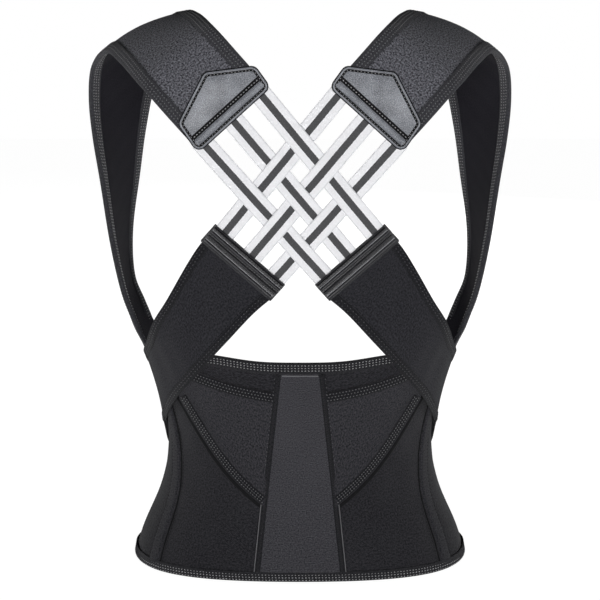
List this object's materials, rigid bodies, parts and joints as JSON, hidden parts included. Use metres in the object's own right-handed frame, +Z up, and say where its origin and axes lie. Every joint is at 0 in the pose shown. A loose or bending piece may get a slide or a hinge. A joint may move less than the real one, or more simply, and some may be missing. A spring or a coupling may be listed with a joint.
{
  "type": "posture back brace",
  "caption": "Back brace with a waist belt, diagonal wings, a woven lattice of elastic bands between the shoulder blades and padded shoulder straps that loop round the arms.",
  "frame": {"origin": "in the plane of the belt's hem, under the middle of the brace", "axes": "+X to the wearer's right, -Y out of the wearer's back, +Z up to the shoulders"},
  "size_m": [0.3984, 0.2221, 0.5235],
  "materials": {
    "belt_neoprene": "matte laminated neoprene",
    "edge_binding": "woven tape with pale zigzag stitching",
    "ribbed_elastic": "ribbed elastic",
    "fan_fabric": "matte knit",
    "seam_tape": "stitched tape",
    "spring_steel": "spring steel strip",
    "stay_plastic": "stiff plastic strip",
    "lining": "brushed lining",
    "wing_neoprene": "matte laminated neoprene",
    "tab_leather": "dark embossed synthetic leather",
    "patch_leather": "blue grey grained synthetic leather",
    "band_elastic": "pale woven elastic with a dark middle stripe",
    "strap_webbing": "padded woven fabric",
    "loop_fabric": "brushed loop fabric",
    "hook_tape": "fine hook tape"
  },
  "bodies": {
    "wrap": {"back_panel_right": "belt_neoprene", "back_panel_left": "belt_neoprene", "side_panel_right": "belt_neoprene", "side_panel_left": "belt_neoprene", "lumbar_stay_right": "spring_steel", "lumbar_stay_left": "spring_steel", "center_seam_tape_right": "seam_tape", "center_seam_tape_left": "seam_tape", "fan_right": "fan_fabric", "fan_left": "fan_fabric", "fan_tapes_right": "seam_tape", "fan_tapes_left": "seam_tape", "side_stay_channel_right": "seam_tape", "side_stay_channel_left": "seam_tape", "side_stay_right": "stay_plastic", "side_stay_left": "stay_plastic", "wing_right": "wing_neoprene", "wing_left": "wing_neoprene", "wing_tapes_right": "seam_tape", "wing_tapes_left": "seam_tape", "tab_inner_right": "tab_leather", "tab_inner_left": "tab_leather", "tab_outer_right": "tab_leather", "tab_outer_left": "tab_leather", "strap_anchor_right": "wing_neoprene", "strap_anchor_left": "wing_neoprene", "top_binding": "edge_binding", "hem_binding": "edge_binding", "lumbar_lining": "lining", "center_panel": "ribbed_elastic", "band_a1": "band_elastic", "band_a2": "band_elastic", "band_a3": "band_elastic", "band_b1": "band_elastic", "band_b2": "band_elastic", "band_b3": "band_elastic"},
    "left_front": {"front_flap_left": "belt_neoprene", "flap_bindings_left": "edge_binding", "closure_hook_patch": "hook_tape", "strap_base_left": "wing_neoprene", "loop_field_left": "loop_fabric"},
    "right_front": {"front_flap_right": "belt_neoprene", "flap_bindings_right": "edge_binding", "loop_tongue": "loop_fabric", "strap_base_right": "wing_neoprene", "loop_field_right": "loop_fabric"},
    "left_pull_end": {"pull_end_left": "wing_neoprene", "pull_hook_left": "hook_tape"},
    "right_pull_end": {"pull_end_right": "wing_neoprene", "pull_hook_right": "hook_tape"},
    "left_shoulder_strap": {"shoulder_strap_left": "strap_webbing", "neck_binding_left": "edge_binding", "arm_binding_left": "edge_binding", "patch_outer_left": "patch_leather", "patch_inner_left": "patch_leather"},
    "right_shoulder_strap": {"shoulder_strap_right": "strap_webbing", "neck_binding_right": "edge_binding", "arm_binding_right": "edge_binding", "patch_outer_right": "patch_leather", "patch_inner_right": "patch_leather"}
  },
  "joints": [
    {"name": "left_flap", "type": "hinge", "parent": "wrap", "child": "left_front", "pos_m": [-0.09873, 0.09351, 0.0775], "axis": [0, 0, 1], "range_deg": [0, 90]},
    {"name": "right_flap", "type": "hinge", "parent": "wrap", "child": "right_front", "pos_m": [0.09873, 0.09351, 0.0775], "axis": [0, 0, -1], "range_deg": [0, 50]},
    {"name": "left_pull", "type": "hinge", "parent": "left_front", "child": "left_pull_end", "pos_m": [-0.07794, 0.10072, 0.1085], "axis": [0, 0, 1], "range_deg": [0, 70]},
    {"name": "right_pull", "type": "hinge", "parent": "right_front", "child": "right_pull_end", "pos_m": [0.07794, 0.10072, 0.1085], "axis": [0, 0, -1], "range_deg": [0, 70]},
    {"name": "left_shoulder", "type": "hinge", "parent": "wrap", "child": "left_shoulder_strap", "pos_m": [-0.15, 0.008, 0.264], "axis": [-1, 0, 0], "range_deg": [-2, 8], "stiffness_Nm_per_rad": 12, "deforming": ["band_a1", "band_a2", "band_a3", "band_b1", "band_b2", "band_b3"]},
    {"name": "right_shoulder", "type": "hinge", "parent": "wrap", "child": "right_shoulder_strap", "pos_m": [0.15, 0.008, 0.264], "axis": [-1, 0, 0], "range_deg": [-2, 8], "stiffness_Nm_per_rad": 12}
  ],
  "couplings": [
    {"joint": "right_flap", "follows": "left_flap", "ratio": 0.55},
    {"joint": "right_shoulder", "follows": "left_shoulder", "ratio": 1}
  ]
}
